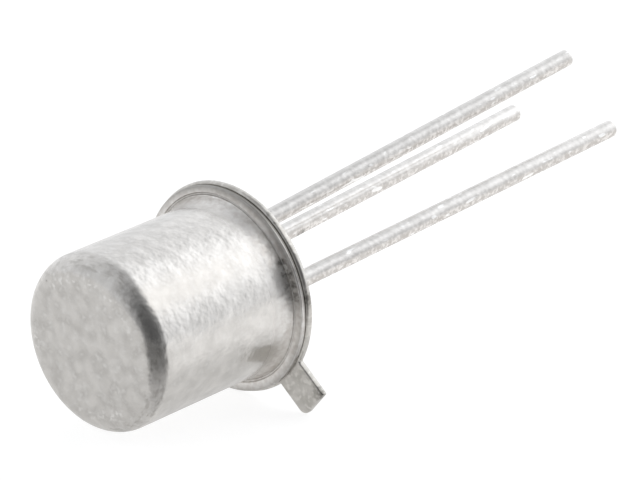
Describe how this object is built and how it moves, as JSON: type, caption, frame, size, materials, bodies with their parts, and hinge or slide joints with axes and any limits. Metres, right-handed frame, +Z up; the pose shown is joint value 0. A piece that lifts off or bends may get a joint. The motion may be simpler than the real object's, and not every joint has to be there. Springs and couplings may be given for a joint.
{
  "type": "transistor",
  "caption": "Wire-leaded transistor in a round metal can with a rounded end, weld flange and locating tab, lying on its side as it rests.",
  "frame": {"origin": "on the surface that the part lies on, below the middle of its box", "axes": "+Y the way the leads point, +X the side of the locating tab, +Z up; the can's axis dips 6 degrees towards its closed end"},
  "size_m": [0.006, 0.0184, 0.007],
  "materials": {
    "cap_nickel": "satin",
    "header_plating": "satin",
    "seal_glass": "gloss",
    "lead_tin": "satin",
    "bond_gold": "polished",
    "die_silicon": "gloss"
  },
  "bodies": {
    "root": {"cap": "cap_nickel", "header": "header_plating", "glass_seal": "seal_glass", "emitter_lead": "lead_tin", "base_lead": "lead_tin", "collector_lead": "lead_tin", "die_attach": "bond_gold", "die": "die_silicon", "emitter_bond_wire": "bond_gold", "base_bond_wire": "bond_gold"}
  },
  "joints": []
}
